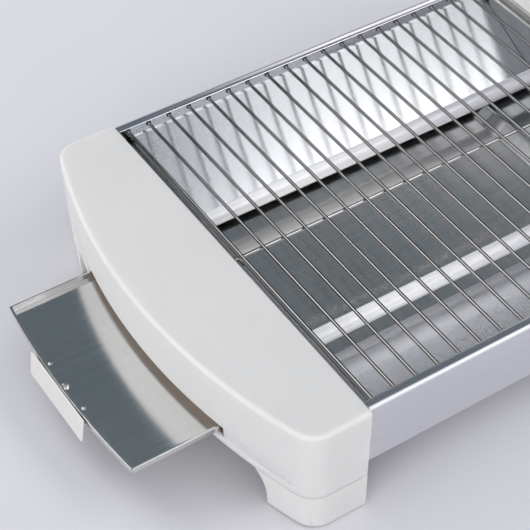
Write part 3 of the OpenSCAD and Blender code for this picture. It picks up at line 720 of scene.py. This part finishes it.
def wall_section(bend, slope, edge):
    """Section of a tray wall from the floor's bend over its hem to the underside: (outwards, height).

    The edge is the radius of the hem's outer corner.
    """
    low, high = tray_low.z, tray_high.z
    lean = math.cos(math.radians(slope)) / math.sin(math.radians(slope))
    middle_z = low + SHEET + bend
    bend_top = middle_z - bend * math.cos(math.radians(slope))
    middle = (-HEM - (high - bend_top) * lean - bend * math.sin(math.radians(slope)), middle_z)
    flap_low = low + FLAP_RISE
    shift = (flap_low - high) * lean
    top = [(-HEM, high - HEM_NICK), (HEM_NICK - HEM, high)] + arc((-edge, high - edge), edge, 90, 0, 7)
    flap = [(shift, flap_low + HEM_NICK), (shift - HEM_NICK, flap_low)]
    flap += [(shift + FLAP_GAP - SHEET, flap_low)]
    inner = arc(middle, bend, -90, slope - 90, 6)
    under = arc(middle, bend + SHEET, slope - 90, -90, 6)
    return inner + top + flap + under


def front_x(y):
    """Place of the tray's bowed front edge."""
    return tray_low.x + TRAY_BOW - math.sqrt(TRAY_BOW ** 2 - y ** 2)


def tray_wall(form, section, path, normals, first=None, last=None):
    """Wall along a path, mitred to the walls next to it or cut square, with a fine gap at its ends."""
    rings = []
    for i, (point, normal) in enumerate(zip(path, normals)):
        along = Vector((-normal.y, normal.x))
        offset = normal
        if i == 0:
            offset = mitre(normal, first or normal)
            point = point + along * SEAM_GAP
        if i == len(path) - 1:
            offset = mitre(normal, last or normal)
            point = point - along * SEAM_GAP
        rings.append([(*(point + offset * s), z) for s, z in section])
    form.loft(rings)


def mitre(normal, other):
    """Direction along the mitre between two walls, for one unit square to each."""
    return (normal + other) / (1 + normal.dot(other))


def crumb_tray():
    """Pan with a bowed front wall, two side walls, a sloped rear edge and a flat floor."""
    half = tray_high.y
    rear = tray_high.x
    count = 40
    front = [Vector((front_x(y), y)) for y in [half - 2 * half * i / count for i in range(count + 1)]]
    centre = Vector((tray_low.x + TRAY_BOW, 0))
    front_n = [(p - centre).normalized() for p in front]
    near_n, far_n, rear_n = Vector((0, -1)), Vector((0, 1)), Vector((1, 0))
    bowed = wall_section(BEND, UPRIGHT, FRONT_EDGE)
    upright = wall_section(BEND, UPRIGHT, SIDE_EDGE)
    sloped = wall_section(REAR_BEND, REAR_SLOPE, REAR_EDGE)
    inset, rear_inset = -upright[0][0], -sloped[0][0]
    rear_half = half - HEM
    form = Form()
    tray_wall(form, bowed, front, front_n, far_n, near_n)
    tray_wall(form, upright, [front[-1], Vector((rear, -half))], [near_n] * 2, front_n[-1])
    tray_wall(form, sloped, [Vector((rear, -rear_half)), Vector((rear, rear_half))], [rear_n] * 2)
    tray_wall(form, upright, [Vector((rear, half)), front[0]], [far_n] * 2, None, front_n[0])
    edge = [p - n * inset for p, n in zip(front, front_n) if abs(p.y) < half - inset]
    edge = [Vector((front_x(half) + inset, half - inset))] + edge
    edge += [Vector((front_x(half) + inset, inset - half))]
    edge += [Vector((rear - rear_inset, inset - half)), Vector((rear - rear_inset, half - inset))]
    form.loft([[(p.x, p.y, z) for p in edge] for z in (tray_low.z, tray_low.z + SHEET)])
    show("tray_pan", form, "polished_steel", "tray", "crumb_tray", sharp=TRAY_SHARP)


def tray_handle():
    """Thin bent plate: a leaning front with rounded lower corners, and a tongue under the tray."""
    low, high = mm_box("tray_handle")
    thick, lean, corner, nick, soft_edge = 1.0, 1.9, 2.0, 0.6, 0.25
    tongue_gap, tongue_over, tongue_inset = 0.02, 0.6, 1.0
    height = high.z - low.z
    outline = arc((low.y + corner, low.z + corner), corner, 180, 270, 6)
    outline += arc((high.y - corner, low.z + corner), corner, 270, 360, 6)
    outline += arc((high.y - nick, high.z - nick), nick, 0, 90, 3)
    outline += arc((low.y + nick, high.z - nick), nick, 90, 180, 3)

    def face(depth):
        return [(low.x + depth + lean * (z - low.z) / height, y, z) for y, z in outline]

    form = Form()
    form.loft([face(0.0), face(thick)])
    tongue_z = tray_low.z - tongue_gap
    form.box(
        (tray_low.x - tongue_over, low.y + tongue_inset, tongue_z - thick),
        (high.x, high.y - tongue_inset, tongue_z)
    )
    made = show("tray_pull", form, "white_plastic", "tray", "tray_handle")
    made.data.materials[0] = white_plastic("thin_plastic", depth=0.0)
    soften(made, soft_edge)


crumb_tray()
tray_handle()


# Fasteners

def cap_profile(radius, height):
    """Profile of a low round cap: (radius, height) from its rim to its top."""
    ball = (radius ** 2 + height ** 2) / (2 * height)
    tilt = math.asin(radius / ball)
    steps, last_turn = 6, 0.04
    turns = [tilt * (1 - i / steps) for i in range(steps)] + [last_turn]
    return [(ball * math.sin(a), height - ball * (1 - math.cos(a))) for a in turns]


def screw_head(size, height, shank, length):
    """Low round head with a cross recess on top and a shank below: a mesh round the origin."""
    radius = size / 2
    rim, crown = height * 0.25, height * 0.6
    dome = [(radius, 0)] + [(r, h + rim) for r, h in cap_profile(radius, crown)]
    body = Form()
    body.lathe([(shank / 2, -length), (shank / 2, 0)] + dome, (0, 0, 0), (0, 0, 1), steps=28)
    arm, width = radius * 0.66, radius * 0.24
    recess_low, recess_high = height * 0.1, height * 2
    cross, other = Form(), Form()
    cross.box((-arm, -width, recess_low), (arm, width, recess_high))
    other.box((-width, -arm, recess_low), (width, arm, recess_high))
    return carved("screw", body, [cross, other])


def copies(mesh, places):
    """One mesh of copies of another, each moved by its own matrix."""
    joined = bmesh.new()
    for place in places:
        part = mesh.copy()
        part.transform(place)
        joined.from_mesh(part)
        bpy.data.meshes.remove(part)
    made = bpy.data.meshes.new("copies")
    joined.to_mesh(made)
    joined.free()
    shade(made, SHARP)
    return made


def screws(name, node, body, head, height, shank, up):
    """Screws in place of a node's solids, which are all as long, heads up or down."""
    places = []
    for low, high in solid_boxes(node):
        mid = (low + high) / 2
        head_z = high.z - height if up else low.z + height
        turn = Matrix.Identity(4) if up else Matrix.Rotation(math.pi, 4, "X")
        places.append(Matrix.Translation((mid.x * MM, mid.y * MM, head_z * MM)) @ turn)
    length = (high.z - low.z) - height
    show(name, copies(screw_head(head, height, shank, length), places), "screw_steel", body, node)


def tray_rivets():
    """Rivets with low round heads on the tray's floor."""
    form = Form()
    head, shank, rise, neck = 1.25, 1.1, 0.35, 0.1
    floor_z = tray_low.z + SHEET
    for low, high in solid_boxes("tray_rivets"):
        mid = (low + high) / 2
        profile = [(shank, low.z - floor_z), (shank, -neck), (head, 0.0)] + cap_profile(head, rise)
        form.lathe(profile, (mid.x, mid.y, floor_z), (0, 0, 1), steps=28)
    show("tray_rivet_heads", form, "screw_steel", "tray", "tray_rivets")


tray_rivets()
screws("tray_pan_screw", "tray_screw", "tray", head=4.6, height=1.8, shank=2.8, up=True)
screws("base_pan_screws", "base_screws", "toaster", head=6.0, height=1.8, shank=2.8, up=False)
screws("bottom_pan_screws", "bottom_screws", "toaster", head=6.0, height=1.8, shank=2.8, up=False)


# Panels: folded sheet with a lip that the rack wires pass through

PANEL_OUT = 130.0
PANEL_LOW = 36.0
PANEL_END = 138.7
FOLD = 2.5
LIP_IN = 123.5
LIP_LOW = 70.0
LIP_FOLD = 0.35
LIP_NICK = 0.2
RETURN = 8.5
WIRE_HOLE = 3.4
HOLE_OVER = 2.0


def panel_section():
    """Section of the rear panel: (y, z) round its wall, fold, flange, lip and bottom return."""
    wall, top = PANEL_OUT - SHEET, BODY_H - SHEET
    outer = arc((PANEL_OUT - FOLD, BODY_H - FOLD), FOLD, 0, 90, 8)
    outer += arc((LIP_IN + LIP_FOLD, BODY_H - LIP_FOLD), LIP_FOLD, 90, 180, 5)
    lip_back = LIP_IN + SHEET
    lip = [(LIP_IN, LIP_LOW), (lip_back, LIP_LOW), (lip_back, top - LIP_NICK), (lip_back + LIP_NICK, top)]
    inner = arc((PANEL_OUT - FOLD, BODY_H - FOLD), FOLD - SHEET, 90, 0, 8)
    foot = [(wall, PANEL_LOW + SHEET), (PANEL_OUT - RETURN, PANEL_LOW + SHEET)]
    return foot + [(PANEL_OUT - RETURN, PANEL_LOW), (PANEL_OUT, PANEL_LOW)] + outer + lip + inner


def steel_panel(name, node, side):
    """Panel on one side, with a hole in its lip for every rack wire: side is -1 for the front."""
    form, holes = Form(), Form()
    form.loft([[(MID_X + x, side * y, z) for y, z in panel_section()] for x in (-PANEL_END, PANEL_END)])
    for low, high in solid_boxes("rack_wires"):
        mid = (low + high) / 2
        place = (mid.x, side * (LIP_IN - HOLE_OVER), mid.z)
        profile = [(WIRE_HOLE / 2, 0), (WIRE_HOLE / 2, SHEET + 2 * HOLE_OVER)]
        holes.lathe(profile, place, (0, side, 0), steps=20)
    show(name, carved(name, form, [holes]), "satin_steel", "toaster", node)


steel_panel("front_sheet", "front_panel", -1)
steel_panel("rear_sheet", "rear_panel", 1)


# Heating coils wound inside the tubes

COIL_PITCH = 2.6
COIL_WIRE = 0.45
COIL_STEPS = 12


def heating_coil(name, node):
    """Wound wire in place of a node's plain tube; COIL_WIRE is the wire's radius."""
    low, high = mm_box(node)
    mid = (low + high) / 2
    radius = (high.z - low.z) / 2 - COIL_WIRE
    length = high.x - low.x - 2 * COIL_WIRE
    count = int(length / COIL_PITCH * COIL_STEPS)
    path = []
    for i in range(count + 1):
        a = 2 * math.pi * i / COIL_STEPS
        x = low.x + COIL_WIRE + length * i / count
        path.append((x, mid.y + radius * math.cos(a), mid.z + radius * math.sin(a)))
    form = Form()
    form.tube(path, COIL_WIRE, sides=6)
    show(name, form, "heater_alloy", "toaster", node)


heating_coil("front_wound_coil", "front_heating_coil")
heating_coil("rear_wound_coil", "rear_heating_coil")


# Rack: weld nuggets where the wires cross

# Height from the top of the cross wire and share of the full size, ring by ring
NUGGET_RINGS = ((-0.7, 0.35), (-0.45, 0.8), (0.0, 1.0), (0.45, 0.8), (0.7, 0.35))
NUGGET_X, NUGGET_Y = 0.95, 1.15
NUGGET_SIDES = 16


def weld_nuggets():
    """Flattened nugget between the cross wire and each rack wire."""
    form = Form()
    _, cross_high = mm_box("rack_cross_wire")
    turns = [2 * math.pi * k / NUGGET_SIDES for k in range(NUGGET_SIDES)]
    for low, high in solid_boxes("rack_wires"):
        x = (low.x + high.x) / 2
        rings = []
        for rise, share in NUGGET_RINGS:
            ring = [(NUGGET_X * share * math.cos(a), NUGGET_Y * share * math.sin(a)) for a in turns]
            rings.append([(x + u, v, cross_high.z + rise) for u, v in ring])
        form.loft(rings)
    show("rack_welds", form, "chrome_wire", "toaster")


weld_nuggets()


# Controls

KNOB_DISC = 5.0
KNOB_EDGE, KNOB_TAPER, KNOB_ROUND = 0.4, 0.5, 1.4
FLUTES, FLUTE_STEPS = 36, 8
FLUTE_DEPTH, FLUTE_FADE = 0.5, 0.2
TOP_ROOM = 0.12

# Half width of the grip, and its ends' distance from the disc's rim, at its foot and at its top
GRIP_SUNK = 0.6
FOOT_HALF, FOOT_INSET = 4.5, 1.0
GRIP_HALF, GRIP_INSET = 3.9, 1.5

POINTER_HALF = 0.7
POINTER_START, POINTER_INSET = 6.0, 3.6
POINTER_SUNK, POINTER_RISE = 0.5, 0.08
POINTER_EDGE = 0.08

# Dial marks: inner radius and half width
MARK_COUNT, MARK_STEP = 11, 30
SHORT_MARK, LONG_MARK = (18.3, 0.3), (18.2, 0.5)
MARK_OUT = 19.3
MARK_SUNK, MARK_RISE = 0.3, 0.06


def timer_knob():
    """Fluted disc with a grip across it, and a pointer on the grip."""
    low, high = mm_box("timer_knob")
    centre_y, centre_z = (low.y + high.y) / 2, (low.z + high.z) / 2
    radius = (high.y - low.y) / 2
    steps = FLUTES * FLUTE_STEPS

    def ring(x, r, depth):
        points = []
        for i in range(steps):
            a = 2 * math.pi * i / steps
            reach = r - depth * (0.5 - 0.5 * math.cos(FLUTES * a)) ** 2
            points.append((x, centre_y + reach * math.cos(a), centre_z + reach * math.sin(a)))
        return points

    form = Form()
    shoulder = low.x + KNOB_DISC - KNOB_ROUND
    disc = [ring(low.x, radius - KNOB_EDGE, 0.0), ring(low.x + KNOB_EDGE, radius, FLUTE_DEPTH)]
    disc.append(ring(shoulder, radius - KNOB_TAPER, FLUTE_DEPTH))
    for u, r in arc((0.0, radius - KNOB_TAPER - KNOB_ROUND), KNOB_ROUND, 90, 0, 5):
        disc.append(ring(shoulder + u, r, FLUTE_FADE))
    form.loft(disc)
    top = high.x - TOP_ROOM
    bend, grip_reach = top - KNOB_ROUND, radius - GRIP_INSET
    grip = [(low.x + KNOB_DISC - GRIP_SUNK, FOOT_HALF, radius - FOOT_INSET), (bend, GRIP_HALF, grip_reach)]
    for u, r in arc((0.0, 0.0), KNOB_ROUND, 0, 90, 5)[1:]:
        grip.append((bend + r, GRIP_HALF - KNOB_ROUND + u, grip_reach - KNOB_ROUND + u))
    rings = []
    for x, half, reach in grip:
        a = math.degrees(math.asin(half / reach))
        ends = arc((0, 0), reach, 90 - a, 90 + a, 10) + arc((0, 0), reach, 270 - a, 270 + a, 10)
        rings.append([(x, centre_y + y, centre_z + z) for y, z in ends])
    form.loft(rings)
    show("timer_grip", form, "white_plastic", "knob", "timer_knob")
    mark = Form()
    mark.box(
        (top - POINTER_SUNK, centre_y - POINTER_HALF, centre_z + POINTER_START),
        (top + POINTER_RISE, centre_y + POINTER_HALF, centre_z + radius - POINTER_INSET)
    )
    soften(show("knob_pointer", mark, "dark_plastic", "knob"), POINTER_EDGE)


def dial_marks():
    """Short marks round the knob's seat, longer and wider at the ends and the middle of the travel."""
    form = Form()
    middle = Vector((0, 0, TIMER_Z))
    face_x = MID_X + SEAT_X + SEAT_RISE
    for i in range(MARK_COUNT):
        a = math.radians(90 + MARK_STEP * i)
        out = Vector((0, math.cos(a), math.sin(a)))
        across = Vector((0, -math.sin(a), math.cos(a)))
        inner, width = SHORT_MARK if i % 5 else LONG_MARK
        places = ((inner, -width), (MARK_OUT, -width), (MARK_OUT, width), (inner, width))
        corners = [middle + out * r + across * s for r, s in places]
        form.loft([[(x, p.y, p.z) for p in corners] for x in (face_x - MARK_SUNK, face_x + MARK_RISE)])
    show("dial_marks", form, "dark_plastic", "toaster")


def cord_gland():
    """Bush with a flanged mouth and a through bore."""
    low, high = mm_box("cord_gland")
    mid = (low + high) / 2
    depth = high.y - low.y
    bore, neck, flange, rim = 3.75, 5.25, 7.0, 1.2
    chamfer, rim_round, mouth_round = 0.3, 0.6, 0.7
    profile = [(bore + chamfer, 0), (neck - chamfer, 0), (neck, chamfer)]
    profile += [(neck, depth - rim), (flange, depth - rim)]
    profile += arc((flange - rim_round, depth - rim_round), rim_round, 0, 90, 4)
    profile += arc((bore + mouth_round, depth - mouth_round), mouth_round, 90, 180, 4)
    profile += [(bore, chamfer)]
    form = Form()
    form.lathe(profile, (mid.x, low.y, mid.z), (0, 1, 0), steps=48, bored=True)
    show("cord_bush", form, "dark_plastic", "toaster", "cord_gland")


def foot_pads():
    """Round pads with a shallow cup and a groove in their soles."""
    form = Form()
    cup = [(0.2, 0.6), (2.2, 0.6), (2.6, 0.0)]
    groove = [(4.6, 0.0), (4.9, 0.5), (5.5, 0.5), (5.8, 0.0)]
    for low, high in solid_boxes("foot_pads"):
        mid = (low + high) / 2
        radius = (high.x - low.x) / 2
        height = high.z - low.z
        rim = [(radius - 0.7, 0.0), (radius - 0.2, 0.25), (radius, 0.8), (radius, height)]
        form.lathe(cup + groove + rim, (mid.x, mid.y, low.z), (0, 0, 1))
    show("rubber_pads", form, "rubber", "toaster", "foot_pads")


timer_knob()
dial_marks()
cord_gland()
foot_pads()


# Stage: pale floor, soft lights and the camera at the photograph's place

FLOOR_HALF = 4.0


def floor():
    """Pale matt floor with a faint mottle."""
    made, tree, shader, place = material("floor", Roughness=0.9, Specular_IOR_Level=0.1)
    cloth = noise(tree, place, scale=3.0, detail=2.0)
    colour = tint(tree, cloth, dark=(0.60, 0.60, 0.632), light=(0.625, 0.625, 0.657))
    tree.links.new(colour, shader.inputs["Base Color"])
    mesh = bpy.data.meshes.new("floor")
    signs = ((-1, -1), (1, -1), (1, 1), (-1, 1))
    mesh.from_pydata([(FLOOR_HALF * x, FLOOR_HALF * y, 0) for x, y in signs], [], [(0, 1, 2, 3)])
    mesh.materials.append(made)
    ground = bpy.data.objects.new("floor", mesh)
    bpy.context.scene.collection.objects.link(ground)


def softbox(name, place, aim, size, watts):
    """Rectangular area lamp at a place, turned to a point."""
    lamp = bpy.data.lights.new(name, "AREA")
    lamp.shape = "RECTANGLE"
    lamp.size, lamp.size_y = size
    lamp.energy = watts
    made = bpy.data.objects.new(name, lamp)
    made.location = place
    made.rotation_euler = (Vector(aim) - Vector(place)).to_track_quat("-Z", "Y").to_euler()
    bpy.context.scene.collection.objects.link(made)


def world_light():
    """Soft surroundings: bright to the near left, slate on the far side, a pale ceiling with dark gaps."""
    world = bpy.data.worlds.new("studio")
    bpy.context.scene.world = world
    world.use_nodes = True
    tree = world.node_tree
    direction = add(tree, "ShaderNodeTexCoord").outputs["Generated"]
    x, y, z = add(tree, "ShaderNodeSeparateXYZ", {"Vector": direction}).outputs
    links = {0: x, 1: 0.5, 2: y}
    side = add(tree, "ShaderNodeMath", links, operation="MULTIPLY_ADD").outputs[0]

    # Far side: slate above a paler horizon, with one bright panel to the right
    none, full = (0.0, 0.0, 0.0), (1.0, 1.0, 1.0)
    horizon, slate, right_slate = (0.45, 0.44, 0.45), (0.12, 0.15, 0.174), (0.15, 0.178, 0.20)
    panel = (1.7, 1.6, 1.64)
    height = ramp(tree, z, [(0.50, none), (0.55, full), (0.615, full), (0.645, none)])
    width = ramp(tree, x, [(0.38, none), (0.46, full), (0.54, full), (0.555, none)])
    far = ramp(tree, z, [(0.08, horizon), (0.2, slate)])
    far = blend(tree, rising(tree, x, (0.30, 0.42)), far, right_slate)
    far = blend(tree, product(tree, height, width), far, panel)

    # Ceiling: pale fields from left to right, with dark gaps between them
    gap, middle = (0.10, 0.13, 0.17), (1.1, 1.1, 1.12)
    right, far_right = (1.45, 1.44, 1.46), (1.15, 1.14, 1.16)
    fields = [(-0.45, gap), (-0.35, middle), (0.18, middle), (0.28, gap)]
    fields += [(0.36, gap), (0.46, right), (0.56, far_right)]
    stops = [((1 + place) / 2, colour) for place, colour in fields]
    ceiling = ramp(tree, rising(tree, x, (-1.0, 1.0)), stops)

    # Near side, then the ceiling over both sides, and a dark corner high on the left
    near = (0.85, 0.85, 0.875)
    around = blend(tree, falling(tree, side, (-0.25, 0.25)), far, near)
    whole = blend(tree, rising(tree, z, (0.82, 0.88)), around, ceiling)
    corner = product(tree, falling(tree, x, (-0.52, -0.44)), rising(tree, z, (0.72, 0.77)))
    whole = blend(tree, corner, whole, gap)
    tree.links.new(whole, tree.nodes["Background"].inputs["Color"])


def camera():
    """The photograph's view, fitted to the straight wires of the rack."""
    lens = bpy.data.cameras.new("camera")
    lens.sensor_width = 36.0
    lens.lens = 113.67
    lens.clip_start, lens.clip_end = 0.05, 50.0
    made = bpy.data.objects.new("camera", lens)
    made.location = (-0.4602, -0.5513, 0.7211)
    made.rotation_euler = (math.radians(44.809), 0.0, math.radians(-33.152))
    bpy.context.scene.collection.objects.link(made)
    bpy.context.scene.camera = made


floor()
softbox("far left", place=(-0.70, 0.815, 1.2), aim=(-0.70, 0.815, 0.0), size=(0.81, 0.53), watts=4.8)
softbox("far floor", place=(-0.40, 1.60, 0.70), aim=(-0.2, 0.4, 0.0), size=(1.0, 0.5), watts=7.0)
softbox("near right", place=(1.10, -1.35, 1.6), aim=(1.10, -1.35, 0.0), size=(1.06, 2.2), watts=21.5)
softbox("left front", place=(-2.7, -1.4, 1.1), aim=(-0.1, 0.0, 0.0), size=(2.4, 1.8), watts=46.0)
world_light()
camera()
bpy.context.scene.view_settings.view_transform = "Standard"
